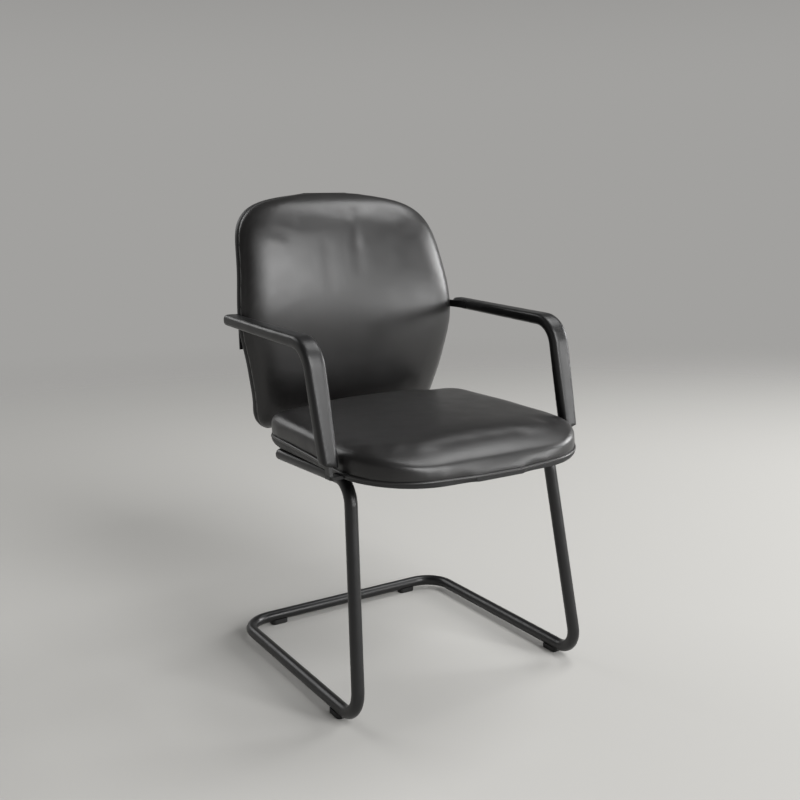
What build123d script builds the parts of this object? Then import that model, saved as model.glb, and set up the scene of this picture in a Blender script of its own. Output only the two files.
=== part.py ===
from build123d import *
import os
from math import cos, pi, radians, sqrt, tan

# Cantilever visitor chair: one bent steel tube carries a padded seat, an L-shaped steel upright
# holds the padded back, and two moulded arms join seat and back.
# Millimetres. X runs to the right as seen from the front, Y to the rear, Z up.

# Clearances
FIT_GAP = 0.15
SOFT_GAP = 0.3
FOAM_GAP = 2.0
FOAM_END = 3.0
END_OPEN = 0.4
HOLE_GAP = 0.5
OVERCUT = 1.0

# Bent tube of the frame
TUBE_D = 22.0
TUBE_WALL = 2.0
RUNNER_HALF = 233.0
RUNNER_FRONT_Y = -243.0
RUNNER_REAR_Y = 243.0
RAIL_HALF = 205.0
RAIL_FRONT_Y = -186.0
RAIL_END_Y = 80.0
RAIL_Z = 403.0
RAIL_TILT = 1.5
REAR_BEND = 55.0
FOOT_BEND = 45.0
SEAT_BEND = 45.0

# Plastic plugs in the rail ends
PLUG_DEPTH = 18.0
PLUG_DOME = 6.0

# Glides under the runners and the rear bar
GLIDE_LIFT = 6.0
GLIDE_LENGTH = 36.0
GLIDE_WIDTH = 21.0
GLIDE_CORNER = 8.0
GLIDE_WRAP = 4.0
GLIDE_EDGE = 1.0
GLIDE_PIN_D = 7.0
GLIDE_PIN_REACH = 7.0
GLIDE_FRONT_Y = -170.0
GLIDE_REAR_X = 155.0

# Crossbars of rectangular tube between the rails
BAR_WIDTH = 30.0
BAR_HEIGHT = 15.0
BAR_WALL = 1.5
FRONT_BAR_Y = -100.0
REAR_BAR_Y = 58.0

# Seat outline seen from above
SEAT_FRONT_Y = -322.0
SEAT_REAR_Y = 152.0
SEAT_FRONT_HALF = 234.0
SEAT_REAR_HALF = 222.0
SEAT_FRONT_BOW = 38.0
SEAT_REAR_BOW = 12.0
SEAT_FRONT_CORNER = 125.0
SEAT_REAR_CORNER = 85.0

# Seat heights: the rim falls away to the front edge
RIM_Z = 440.0
RIM_FLAT_Y = 80.0
RIM_DROP = 17.0
SEAT_RISE = 46.0
SEAT_FRONT_ROLL = 110.0
SEAT_REAR_ROLL = 60.0

# Shape of a cushion section, as shares of its rise
PAD_DRAW_IN = 0.10
PAD_BELLY = 0.42
PAD_CORNER_IN = 0.42
PAD_CORNER_UP = 0.80

# Shape of the moulded cover's section, as shares of its depth
TRAY_TURN_IN = 0.75
TRAY_BELLY_IN = 0.16
TRAY_BELLY = 0.50

# Seat layers
LEATHER = 1.6
PIPING = 4.4
PIPING_PROUD = 1.2
PIPING_INSET = 7.0
COVER_FLOOR = 3.0
COVER_WALL = 9.0
COVER_FRONT_DROP = 11.0
COVER_DROP_Y = -150.0
PAN = 12.0
PAN_LIFT = 4.0
PAN_INSET = 12.0
PAN_FRONT_GAP = 48.0

# Seat fixings
BOLT_D = 8.0
BOLT_HEAD = 5.5
BOLT_HEX = 13.0
T_NUT_FLANGE_D = 22.0
T_NUT_FLANGE = 1.6
T_NUT_BARREL_D = 10.5
T_NUT_BARREL = 8.5
BOSS_D = 20.0
SEAT_BOLT_X = 110.0
SCREW_D = 4.0
SCREW_HEAD_D = 8.5
SCREW_HEAD = 2.2
COVER_SCREW = 20.0
COVER_SCREW_X = 165.0
COVER_SCREW_Y = (-245.0, -30.0, 95.0)

# Back outline seen from the front
BACK_BOTTOM_Z = 416.0
BACK_TOP_Z = 879.0
BACK_LOW_HALF = 190.0
BACK_WIDE_HALF = 238.0
BACK_WIDE_Z = 640.0
BACK_TOP_HALF = 212.0
BACK_SHOULDER_Z = 838.0
BACK_LOW_CORNER = 45.0
BACK_WAIST = 200.0
BACK_SHOULDER = 85.0

# Back profile seen from the side: one arc, furthest forward at the lumbar height
BACK_RADIUS = 420.0
LUMBAR_Z = 618.0
LUMBAR_Y = 179.0
BACK_PAD = 40.0
BACK_PAD_ROLL = 48.0
SHELL_DEPTH = 25.0
SHELL_ROLL = 34.0
SHELL_WALL = 3.0
SHELL_INSET = 2.0
BOARD = 9.0
BOARD_INSET = 30.0
SHELL_SCREW = 22.0
SHELL_SCREW_X = 140.0
SHELL_SCREW_Z = (520.0, 790.0)

# L-shaped steel upright between seat and back
UPRIGHT = 6.0
UPRIGHT_WIDTH = 50.0
UPRIGHT_END = 25.0
UPRIGHT_BEND = 28.0
UPRIGHT_ARC_Z = 444.0
UPRIGHT_TOP_Z = 610.0
UPRIGHT_BACK_BOLT_Z = (505.0, 585.0)

# Arms
ARM_FOOT_INNER = 233.0
ARM_TIP_INNER = 242.0
ARM_TOP_WIDTH = 36.0
ARM_FOOT_WIDTH = 28.0
ARM_TIP_WIDTH = 28.0
ARM_TOP_THICK = 21.0
ARM_FOOT_THICK = 26.0
ARM_CORNER = 7.0
ARM_TIP_Y = 174.0
ARM_BEND_Y = -168.0
ARM_BEND_Z = 643.0
ARM_RISE = 2.5
ARM_LEAN = 11.5
ARM_FOOT_Z = 438.0
ARM_FOOT_SLANT = 14.0
ARM_BEND = 52.0
ARM_TAPER_END = 0.45
CORE_THICK = 6.0
CORE_WIDTH = 14.0
CORE_X = 248.0
CORE_END_GAP = 18.0
FOOT_PLATE = 5.0
FOOT_PLATE_WIDTH = 24.0
FOOT_PLATE_INNER_X = 128.0
FOOT_PLATE_OUTER_X = 252.0
FOOT_BOLT_X = (150.0, 190.0)

# Brackets from the arms round to the rear of the back
BRACKET = 3.5
BRACKET_BEND = 10.0
BRACKET_FRONT_Y = 118.0
BRACKET_ARM_LOW_Z = 638.0
BRACKET_LOW_Z = 584.0
BRACKET_HIGH_Z = 652.0
BRACKET_TAB_X = 225.0
BRACKET_REACH = 62.0
BRACKET_SCREW = 28.0
BRACKET_SCREW_PITCH = 22.0

# Heights and places that follow from the sizes above
SIDES = (("left", -1), ("right", 1))
TUBE_R = TUBE_D / 2
RUNNER_Z = GLIDE_LIFT + TUBE_R
STATIONS = 13
CROWN_STRIPS = 4
REACH = 1000.0


def rail_z(y):
    """Height of a rail's axis: the rails fall towards the rear."""
    return RAIL_Z - y * tan(radians(RAIL_TILT))


def deck_z(y):
    """Height of the sloping plane on top of both rails, which carries the seat."""
    return rail_z(y) + TUBE_R + FIT_GAP


def bar_z(y):
    """Height of the crossbars' sloping underside."""
    return deck_z(y) - SOFT_GAP - BAR_HEIGHT


def upright_z(y):
    """Height of the middle of the upright's sloping lower leg, under the crossbars."""
    return bar_z(y) - FIT_GAP - UPRIGHT / 2


FALL = tan(radians(RAIL_TILT))
PAN_Z = rail_z(RAIL_FRONT_Y) + TUBE_R + FIT_GAP + COVER_FLOOR + PAN_LIFT
FOOT_PLATE_Z = PAN_Z - FOOT_PLATE
ARC_Y = LUMBAR_Y + BACK_RADIUS


def seam_y(z, behind=0.0):
    """Y of the back's seam surface, or of the surface a distance behind it."""
    return ARC_Y - sqrt((BACK_RADIUS - behind) ** 2 - (z - LUMBAR_Z) ** 2)


def rim_z(y):
    """Height of the seat's sewn rim."""
    ahead = max(0.0, RIM_FLAT_Y - y) / (RIM_FLAT_Y - SEAT_FRONT_Y)
    return RIM_Z - RIM_DROP * ahead ** 2


def cover_z(y):
    """Height of the seat cover's underside."""
    ahead = max(0.0, COVER_DROP_Y - y) / (COVER_DROP_Y - SEAT_FRONT_Y)
    return deck_z(y) - COVER_FRONT_DROP * ahead ** 2


def rolled(distance, roll):
    """Share of full thickness at a distance in from a rolled edge."""
    return sqrt(1 - (1 - min(1.0, distance / roll)) ** 2)


def spread(low, high, end):
    """Stations between two ends, closer together near both."""
    middle = (low + high) / 2
    half = (high - low) / 2 - end
    return [middle - half * cos(pi * step / STATIONS) for step in range(STATIONS + 1)]


def half_width(outline, level):
    """Half the width of a symmetric outline at one level."""
    cut = outline.face().intersect(Edge.make_line((-REACH, level), (REACH, level)))
    return sum(edge.length for edge in cut.edges()) / 2


def pad_arcs(half, low, high):
    """Right side, strips of the crown and left side of a cushion section, in that order."""
    rise = high - low
    base = half - PAD_DRAW_IN * rise
    waist = (half, low + PAD_BELLY * rise)
    corner = (half - PAD_CORNER_IN * rise, low + PAD_CORNER_UP * rise)
    crown = ThreePointArc(corner, (0, high), (-corner[0], corner[1]))
    cuts = [crown @ (step / CROWN_STRIPS / 2) for step in range(2 * CROWN_STRIPS + 1)]
    return [
        ThreePointArc((base, low), waist, corner),
        *[ThreePointArc(*cuts[first:first + 3]) for first in range(0, 2 * CROWN_STRIPS, 2)],
        ThreePointArc((-corner[0], corner[1]), (-waist[0], waist[1]), (-base, low)),
    ]


def closed(plane, arcs, more=()):
    """Face inside a run of edges whose open ends are joined by straight lines."""
    edges = [*arcs, Line(arcs[-1] @ 1, more[0] @ 0), *more] if more else list(arcs)
    return plane * make_face([*edges, Line(edges[-1] @ 1, arcs[0] @ 0)])


def pad_section(plane, half, low, high):
    """Cushion section: flat base, sides drawn in at the seam, and a crowned top."""
    return closed(plane, pad_arcs(half, low, high))


def skin_section(plane, half, low, high, wall, opening):
    """Skin of a cushion section, open at its base, or all but solid when an opening is given."""
    inner_high = low + opening if opening else high - wall
    inner = [arc.reversed() for arc in reversed(pad_arcs(half - wall, low, inner_high))]
    return closed(plane, pad_arcs(half, low, high), inner)


def tray_section(plane, half, low, high):
    """Moulded section: flat top, sides that turn in to a flat underside."""
    depth = high - low
    base = half - TRAY_TURN_IN * depth
    waist = (half - TRAY_BELLY_IN * depth, low + TRAY_BELLY * depth)
    edges = [
        Line((-base, low), (base, low)),
        ThreePointArc((base, low), waist, (half, high)),
        Line((half, high), (-half, high)),
        ThreePointArc((-half, high), (-waist[0], waist[1]), (-base, low)),
    ]
    return plane * make_face(edges)


def seat_outline():
    """Seat seen from above: bowed front and rear, sides that narrow to the rear."""
    front_y = SEAT_FRONT_Y + SEAT_FRONT_BOW
    rear_y = SEAT_REAR_Y - SEAT_REAR_BOW
    front_left = (-SEAT_FRONT_HALF, front_y)
    front_right = (SEAT_FRONT_HALF, front_y)
    rear_left = (-SEAT_REAR_HALF, rear_y)
    rear_right = (SEAT_REAR_HALF, rear_y)
    face = make_face([
        ThreePointArc(front_left, (0, SEAT_FRONT_Y), front_right),
        Line(front_right, rear_right),
        ThreePointArc(rear_right, (0, SEAT_REAR_Y), rear_left),
        Line(rear_left, front_left),
    ])
    corners = face.vertices().sort_by(Axis.Y)
    face = fillet(corners[:2], SEAT_FRONT_CORNER)
    corners = [v for v in face.vertices() if abs(v.Y - rear_y) < FIT_GAP]
    return fillet(corners, SEAT_REAR_CORNER)


def back_outline():
    """Back seen from the front, in X and Z: widest at the arms, with a bowed top."""
    low = [(-BACK_LOW_HALF, BACK_BOTTOM_Z), (BACK_LOW_HALF, BACK_BOTTOM_Z)]
    wide = [(-BACK_WIDE_HALF, BACK_WIDE_Z), (BACK_WIDE_HALF, BACK_WIDE_Z)]
    top = [(-BACK_TOP_HALF, BACK_SHOULDER_Z), (BACK_TOP_HALF, BACK_SHOULDER_Z)]
    face = make_face([
        Line(low[0], low[1]),
        Line(low[1], wide[1]),
        Line(wide[1], top[1]),
        ThreePointArc(top[1], (0, BACK_TOP_Z), top[0]),
        Line(top[0], wide[0]),
        Line(wide[0], low[0]),
    ])
    for level, radius in (
        (BACK_BOTTOM_Z, BACK_LOW_CORNER),
        (BACK_WIDE_Z, BACK_WAIST),
        (BACK_SHOULDER_Z, BACK_SHOULDER),
    ):
        corners = [v for v in face.vertices() if abs(v.Y - level) < FIT_GAP]
        face = fillet(corners, radius)
    return face


SEAT_OUTLINE = seat_outline()
BACK_OUTLINE = back_outline()


def across(y):
    """Plane across the seat at one Y, drawn in X and Z."""
    return Plane((0, y, 0), x_dir=(1, 0, 0), z_dir=(0, -1, 0))


def seat_slices(inset):
    """Plane, half width, rim height and top height of each slice of the seat cushion."""
    for y in spread(SEAT_FRONT_Y, SEAT_REAR_Y, LEATHER + FOAM_END * inset):
        from_end = min((y - SEAT_FRONT_Y) / SEAT_FRONT_ROLL, (SEAT_REAR_Y - y) / SEAT_REAR_ROLL)
        low = rim_z(y)
        high = low + SEAT_RISE * rolled(from_end, 1.0) - inset
        yield across(y), half_width(SEAT_OUTLINE, y) - inset, low, high


def seat_band(low, high, section, proud=0.0):
    """Band round the seat's rim between two heights, each given as a function of Y."""
    sections = []
    for y in spread(SEAT_FRONT_Y - proud, SEAT_REAR_Y + proud, LEATHER):
        inside = min(max(y, SEAT_FRONT_Y + LEATHER), SEAT_REAR_Y - LEATHER)
        half = half_width(SEAT_OUTLINE, inside) + proud
        sections.append(section(across(y), half, low(y), high(y)))
    return loft(sections)


def prism(outline, low, high):
    """Upright block of a plan outline between two heights."""
    return Pos(0, 0, low) * extrude(outline, high - low, dir=(0, 0, 1))


def back_slices(inset):
    """Plane, half width, base and depth of each slice of the back cushion, ahead of the seam surface."""
    for z in spread(BACK_BOTTOM_Z, BACK_TOP_Z, LEATHER + FOAM_END * inset):
        from_end = min(z - BACK_BOTTOM_Z, BACK_TOP_Z - z)
        depth = BACK_PAD * rolled(from_end, BACK_PAD_ROLL) - inset
        plane = Plane((0, seam_y(z), z), x_dir=(1, 0, 0), z_dir=(0, 0, -1))
        yield plane, half_width(BACK_OUTLINE, z) - inset, min(inset, SOFT_GAP), depth


def shell_slices(inset):
    """The same for the rear shell, behind the seam surface."""
    for z in spread(BACK_BOTTOM_Z, BACK_TOP_Z, SHELL_INSET + inset):
        from_end = min(z - BACK_BOTTOM_Z, BACK_TOP_Z - z)
        depth = SHELL_DEPTH * rolled(from_end, SHELL_ROLL) - inset
        plane = Plane((0, seam_y(z) + SOFT_GAP, z), x_dir=(1, 0, 0), z_dir=(0, 0, 1))
        yield plane, half_width(BACK_OUTLINE, z) - SHELL_INSET - inset, 0.0, depth


def pad(slices):
    """Solid cushion form."""
    return loft([pad_section(*one) for one in slices])


def skin(slices, wall):
    """Skin of a cushion form, open at its base; its end slices are all but solid and close its ends."""
    slices = list(slices)
    ends = (slices[0], slices[-1])
    return loft([skin_section(*one, wall, END_OPEN if one in ends else 0.0) for one in slices])


def rod(x, y, low, high, diameter):
    """Upright round rod."""
    place = Pos(x, y, low)
    return place * Cylinder(diameter / 2, high - low, align=(Align.CENTER, Align.CENTER, Align.MIN))


def bolt(length):
    """Hex bolt along +Z with the underside of its head at Z 0."""
    head = extrude(RegularPolygon(BOLT_HEX / 2, 6, major_radius=False), -BOLT_HEAD)
    return head + rod(0, 0, 0, length, BOLT_D)


def screw(length):
    """Pan head screw along +Z with the underside of its head at Z 0."""
    head = rod(0, 0, -SCREW_HEAD, 0, SCREW_HEAD_D)
    head = fillet(head.edges().group_by(Axis.Z)[0], SCREW_HEAD / 2)
    return head + rod(0, 0, 0, length, SCREW_D)


def t_nut():
    """T-nut whose barrel points down from a flange on the board's face at Z 0."""
    flange = rod(0, 0, 0, T_NUT_FLANGE, T_NUT_FLANGE_D)
    barrel = rod(0, 0, -T_NUT_BARREL, 0, T_NUT_BARREL_D)
    bore = rod(0, 0, -PAN, PAN, BOLT_D + 2 * FIT_GAP)
    return flange + barrel - bore


def frame_path():
    left = [
        (-RAIL_HALF, RAIL_END_Y, rail_z(RAIL_END_Y)),
        (-RAIL_HALF, RAIL_FRONT_Y, rail_z(RAIL_FRONT_Y)),
        (-RUNNER_HALF, RUNNER_FRONT_Y, RUNNER_Z),
        (-RUNNER_HALF, RUNNER_REAR_Y, RUNNER_Z),
    ]
    right = [(-x, y, z) for x, y, z in reversed(left)]
    bends = [SEAT_BEND, FOOT_BEND, REAR_BEND]
    return FilletPolyline(*left, *right, radius=bends + bends[::-1])


def glide_spots():
    """Name, place and turn of each glide: front ones on the runners, rear ones on the rear bar."""
    for name, side in SIDES:
        yield f"front_{name}_glide", side * RUNNER_HALF, GLIDE_FRONT_Y, 90
        yield f"rear_{name}_glide", side * GLIDE_REAR_X, RUNNER_REAR_Y, 0


def cantilever_frame():
    path = frame_path()
    start = Plane(path @ 0, z_dir=path % 0)
    tube = sweep(start * Circle(TUBE_R), path=path) - sweep(start * Circle(TUBE_R - TUBE_WALL), path=path)
    for _, x, y, _ in glide_spots():
        tube -= rod(x, y, 0, RUNNER_Z, GLIDE_PIN_D + 2 * FIT_GAP)
    return tube


def glide(x, y, turn):
    """Saddle under the tube with a push pin into its hole."""
    pad = extrude(RectangleRounded(GLIDE_LENGTH, GLIDE_WIDTH, GLIDE_CORNER), GLIDE_LIFT + GLIDE_WRAP)
    pad = chamfer(pad.edges().group_by(Axis.Z)[0], GLIDE_EDGE)
    pad -= Pos(0, 0, RUNNER_Z) * Rot(0, 90, 0) * Cylinder(TUBE_R + FIT_GAP, 2 * GLIDE_LENGTH)
    pad += rod(0, 0, GLIDE_LIFT / 2, GLIDE_LIFT + TUBE_WALL + GLIDE_PIN_REACH, GLIDE_PIN_D)
    return Pos(x, y, 0) * Rot(0, 0, turn) * pad


def rail_plug(side):
    """Domed plug pushed into the open end of a rail."""
    rim = Plane((side * RAIL_HALF, RAIL_END_Y, rail_z(RAIL_END_Y)), z_dir=(0, 1, -FALL))
    dome = rod(0, 0, 0, PLUG_DOME, TUBE_D)
    dome = fillet(dome.edges().group_by(Axis.Z)[-1], PLUG_DOME - FIT_GAP)
    return rim * (dome + rod(0, 0, -PLUG_DEPTH, 0, TUBE_D - 2 * TUBE_WALL - 2 * FIT_GAP))


def rail_space(side):
    """Straight cylinder along a rail that the crossbar ends are coped to."""
    axis = Plane((side * RAIL_HALF, 0, RAIL_Z), z_dir=(0, 1, -FALL))
    return axis * Cylinder(TUBE_R + FIT_GAP, REACH)


def sloping(y, z):
    """Place in the middle of the chair whose +Z stands square to the rails."""
    return Plane((0, y, z), x_dir=(1, 0, 0), z_dir=(0, FALL, 1))


def crossbar(y):
    middle = sloping(y, bar_z(y) + BAR_HEIGHT / 2)
    bar = middle * Box(2 * RAIL_HALF, BAR_WIDTH, BAR_HEIGHT)
    bar -= middle * Box(2 * RAIL_HALF, BAR_WIDTH - 2 * BAR_WALL, BAR_HEIGHT - 2 * BAR_WALL)
    for _, side in SIDES:
        bar -= rail_space(side)
    for x in (-SEAT_BOLT_X, 0, SEAT_BOLT_X):
        bar -= rod(x, y, 0, RIM_Z, BOLT_D + HOLE_GAP)
    return bar


def bar_bolt_spots():
    """Place of each fixing through a crossbar, and the height its bolt head sits at."""
    for y in (FRONT_BAR_Y, REAR_BAR_Y):
        lowest = y + BOLT_HEX
        for _, side in SIDES:
            yield side * SEAT_BOLT_X, y, bar_z(lowest)
        yield 0, y, upright_z(lowest) - UPRIGHT / 2


def foot_bolt_spots():
    """The same for each fixing through an arm's foot plate, below the cover."""
    for _, side in SIDES:
        for x in FOOT_BOLT_X:
            yield side * x, foot_y(), cover_low(foot_y(), BOLT_HEX)


def seat_bolt_spots():
    yield from bar_bolt_spots()
    yield from foot_bolt_spots()


def cover_low(y, width):
    """Height just clear of the cover's underside for a head of some width."""
    return min(cover_z(y - width / 2), cover_z(y + width / 2)) - FIT_GAP


def cover_screw_spots():
    for y in COVER_SCREW_Y:
        for _, side in SIDES:
            yield side * COVER_SCREW_X, y


def seat_under_cover():
    """Moulded tray under the seat, with bosses for the fixings and notches for the foot plates."""
    tray = seat_band(cover_z, lambda y: rim_z(y) - PIPING - SOFT_GAP, tray_section)
    above = sloping(0, deck_z(0) + COVER_FLOOR) * Pos(0, 0, REACH / 2) * Box(REACH, REACH, REACH)
    tray -= prism(offset(SEAT_OUTLINE, -COVER_WALL), 0, RIM_Z) & above
    for x, y, _ in bar_bolt_spots():
        tray += rod(x, y, cover_z(y) + COVER_FLOOR / 2, PAN_Z, BOSS_D)
    for x, y in cover_screw_spots():
        tray += rod(x, y, cover_z(y) + COVER_FLOOR / 2, PAN_Z, BOSS_D / 2)
        tray -= rod(x, y, 0, RIM_Z, SCREW_D + HOLE_GAP)
    for x, y, _ in seat_bolt_spots():
        tray -= rod(x, y, 0, RIM_Z, BOLT_D + HOLE_GAP)
    for _, side in SIDES:
        notch = Box(REACH, FOOT_PLATE_WIDTH + 2 * HOLE_GAP, REACH)
        inner = FOOT_PLATE_INNER_X - HOLE_GAP + REACH / 2
        tray -= Pos(side * inner, foot_y(), FOOT_PLATE_Z + REACH / 2) * notch
    return tray


def seat_pan():
    """Plywood seat board with holes for the T-nut barrels."""
    board = prism(offset(SEAT_OUTLINE, -PAN_INSET), PAN_Z, PAN_Z + PAN)
    board -= Pos(0, SEAT_FRONT_Y, PAN_Z) * Box(REACH, 2 * PAN_FRONT_GAP, REACH)
    for x, y, _ in seat_bolt_spots():
        board -= rod(x, y, PAN_Z - OVERCUT, PAN_Z + PAN + OVERCUT, T_NUT_BARREL_D + 2 * FIT_GAP)
    for x, y in cover_screw_spots():
        board -= rod(x, y, PAN_Z - OVERCUT, PAN_Z + PAN + OVERCUT, SCREW_D + 2 * FIT_GAP)
    return board


def seat_bolts():
    top = PAN_Z + PAN
    return [Pos(x, y, low) * bolt(top - low) for x, y, low in seat_bolt_spots()]


def seat_t_nuts():
    return [Pos(x, y, PAN_Z + PAN) * t_nut() for x, y, _ in seat_bolt_spots()]


def seat_cover_screws():
    spots = [(x, y, cover_low(y, SCREW_HEAD_D)) for x, y in cover_screw_spots()]
    return [Pos(*spot) * screw(COVER_SCREW) for spot in spots]


def seat_foam():
    foam = pad(seat_slices(LEATHER + FOAM_GAP))
    pocket = prism(offset(SEAT_OUTLINE, -PAN_INSET + SOFT_GAP), 0, PAN_Z + PAN + SOFT_GAP)
    pocket -= Pos(0, SEAT_FRONT_Y, 0) * Box(REACH, 2 * (PAN_FRONT_GAP - SOFT_GAP), REACH)
    foam -= pocket
    for x, y, _ in seat_bolt_spots():
        foam -= rod(x, y, PAN_Z, PAN_Z + PAN + T_NUT_FLANGE + SOFT_GAP, T_NUT_FLANGE_D + 2 * SOFT_GAP)
    return foam


def seat_leather():
    return skin(seat_slices(0), LEATHER)


def seat_piping():
    """Sewn bead round the rim between the leather and the cover."""
    bead = seat_band(lambda y: rim_z(y) - PIPING, lambda y: rim_z(y) - SOFT_GAP, pad_section, PIPING_PROUD)
    return bead - prism(offset(SEAT_OUTLINE, -PIPING_INSET), 0, RIM_Z + PIPING)


def upright_profile(width, end):
    """Side profile of the upright: under the seat, round a bend, up the arc behind the back board."""
    behind = SOFT_GAP * 2 + BOARD + UPRIGHT / 2
    front_y = FRONT_BAR_Y - UPRIGHT_END - end
    arc_low = (seam_y(UPRIGHT_ARC_Z, behind), UPRIGHT_ARC_Z)
    middle_z = (UPRIGHT_ARC_Z + UPRIGHT_TOP_Z) / 2
    slope = (LUMBAR_Z - UPRIGHT_ARC_Z) / (ARC_Y - arc_low[0])
    floor_y = arc_low[0] + UPRIGHT_ARC_Z * slope
    corner_z = (upright_z(0) - floor_y * FALL) / (1 - slope * FALL)
    corner = (floor_y - corner_z * slope, corner_z)
    lower = FilletPolyline((front_y, upright_z(front_y)), corner, arc_low, radius=UPRIGHT_BEND)
    top_z = UPRIGHT_TOP_Z + end
    upper = ThreePointArc(arc_low, (seam_y(middle_z, behind), middle_z), (seam_y(top_z, behind), top_z))
    return Plane.YZ * trace(lower.edges() + [upper], line_width=width)


def back_upright():
    bar = extrude(upright_profile(UPRIGHT, 0), UPRIGHT_WIDTH / 2, both=True)
    for y in (FRONT_BAR_Y, REAR_BAR_Y):
        bar -= rod(0, y, 0, deck_z(y), BOLT_D + HOLE_GAP)
    for z in UPRIGHT_BACK_BOLT_Z:
        bar -= back_fixing(z, 0, BOARD) * rod(0, 0, -UPRIGHT * 2, UPRIGHT * 2, BOLT_D + HOLE_GAP)
    return bar


def back_fixing(z, x, behind):
    """Place a distance behind the seam surface, with +Z pointing forward along the arc's radius."""
    middle = Vector(x, ARC_Y, LUMBAR_Z)
    forward = (Vector(x, seam_y(z), z) - middle).normalized()
    return Plane(middle + forward * (BACK_RADIUS - behind), x_dir=(1, 0, 0), z_dir=forward)


def back_bolt_head(z):
    return back_fixing(z, 0, SOFT_GAP * 2 + BOARD + UPRIGHT + FIT_GAP)


def back_board():
    """Moulded plywood board bent to the back's arc."""
    front = BACK_RADIUS - SOFT_GAP
    axis = Pos(0, ARC_Y, LUMBAR_Z) * Rot(0, 90, 0)
    ring = axis * (Cylinder(front, REACH) - Cylinder(front - BOARD, REACH))
    block = extrude(Plane.XZ * offset(BACK_OUTLINE, -BOARD_INSET), -ARC_Y)
    board = ring & block
    for z in UPRIGHT_BACK_BOLT_Z:
        board -= back_fixing(z, 0, BOARD) * rod(0, 0, -BOARD, 2 * BOARD, T_NUT_BARREL_D + 2 * FIT_GAP)
    for x, z in shell_screw_spots():
        board -= back_fixing(z, x, BOARD) * rod(0, 0, -BOARD, 2 * BOARD, SCREW_D + 2 * FIT_GAP)
    for _, side in SIDES:
        for x, z in bracket_back_spots(side):
            board -= along_y(x, z) * rod(0, 0, -REACH, REACH, SCREW_D + 2 * FIT_GAP)
    return board


def shell_screw_spots():
    for z in SHELL_SCREW_Z:
        for _, side in SIDES:
            yield side * SHELL_SCREW_X, z


def back_foam():
    foam = pad(back_slices(LEATHER + FOAM_GAP))
    for z in UPRIGHT_BACK_BOLT_Z:
        foam -= back_fixing(z, 0, SOFT_GAP) * rod(0, 0, -BOARD, T_NUT_FLANGE + 3 * SOFT_GAP,
                                                  T_NUT_FLANGE_D + 2 * SOFT_GAP)
    return foam


def back_leather():
    return skin(back_slices(0), LEATHER)


def back_shell():
    """Moulded rear shell with bosses to the board and a slot for the upright."""
    shell = skin(shell_slices(0), SHELL_WALL)
    inner = pad(shell_slices(SHELL_WALL / 2))
    for x, z in shell_screw_spots():
        boss = back_fixing(z, x, SOFT_GAP * 2 + BOARD) * rod(0, 0, -SHELL_DEPTH, 0, BOSS_D / 2)
        shell += boss & inner
        shell -= back_fixing(z, x, BOARD) * rod(0, 0, -SHELL_DEPTH, SHELL_DEPTH, SCREW_D + HOLE_GAP)
    slot = upright_profile(UPRIGHT + 2 * HOLE_GAP, HOLE_GAP)
    shell -= extrude(slot, UPRIGHT_WIDTH / 2 + HOLE_GAP, both=True)
    for _, side in SIDES:
        for x, z in bracket_back_spots(side):
            shell -= along_y(x, z) * rod(0, 0, -REACH, REACH, SCREW_D + HOLE_GAP)
    return shell


def foot_y():
    """Y of an arm core where it meets its foot plate."""
    drop = ARM_BEND_Z - ARM_TOP_THICK / 2 - PAN_Z
    return ARM_BEND_Y - drop * tan(radians(ARM_LEAN)) + ARM_FOOT_THICK / 2


def arm_path(low_z, tip_gap):
    """Centre line of an arm in Y and Z: up from the foot, round the bend and back to the tip."""
    lean = tan(radians(ARM_LEAN))
    rise = tan(radians(ARM_RISE))
    bend = (ARM_BEND_Y + ARM_FOOT_THICK / 2, ARM_BEND_Z - ARM_TOP_THICK / 2)
    low = (bend[0] - (bend[1] - low_z) * lean, low_z)
    tip_y = ARM_TIP_Y - tip_gap
    tip = (tip_y, bend[1] + (tip_y - bend[0]) * rise)
    return FilletPolyline(low, bend, tip, radius=ARM_BEND)


def armrest(side):
    """Moulded arm, broad along the top and slimmer down to the foot."""
    path = Plane.YZ * arm_path(ARM_FOOT_Z - ARM_CORNER, 0)
    sections = []
    spots = (
        (0.0, ARM_FOOT_INNER, ARM_FOOT_WIDTH, ARM_FOOT_THICK),
        (ARM_TAPER_END, ARM_FOOT_INNER, ARM_TOP_WIDTH, ARM_TOP_THICK),
        (1.0, ARM_TIP_INNER, ARM_TIP_WIDTH, ARM_TOP_THICK),
    )
    for spot, inner, width, thick in spots:
        plane = Plane(path @ spot, x_dir=(1, 0, 0), z_dir=path % spot)
        shape = RectangleRounded(width, thick, ARM_CORNER)
        sections.append(plane * Pos(inner + width / 2, 0, 0) * shape)
    arm = sweep(sections, path=path, multisection=True)
    tip = arm.faces().sort_by(Axis.Y)[-1]
    arm = fillet(tip.edges(), ARM_CORNER - FIT_GAP)
    slant = Pos(ARM_FOOT_INNER, 0, ARM_FOOT_Z) * Rot(0, -ARM_FOOT_SLANT, 0)
    arm -= slant * Pos(0, 0, -REACH / 2) * Box(REACH, REACH, REACH)
    arm -= arm_core_solid(CORE_WIDTH + 2 * FIT_GAP, CORE_THICK + 2 * FIT_GAP)
    arm -= bracket_form(FIT_GAP)
    return arm if side > 0 else mirror(arm, Plane.YZ)


def arm_core_solid(width, thick):
    profile = Plane.YZ * trace(arm_path(FOOT_PLATE_Z, CORE_END_GAP).edges(), line_width=width)
    core = Pos(CORE_X, 0, 0) * extrude(profile, thick / 2, both=True)
    return core - Pos(0, 0, PAN_Z - REACH / 2) * Box(REACH, REACH, REACH)


def arm_core(side):
    core = arm_core_solid(CORE_WIDTH, CORE_THICK)
    return core if side > 0 else mirror(core, Plane.YZ)


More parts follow.
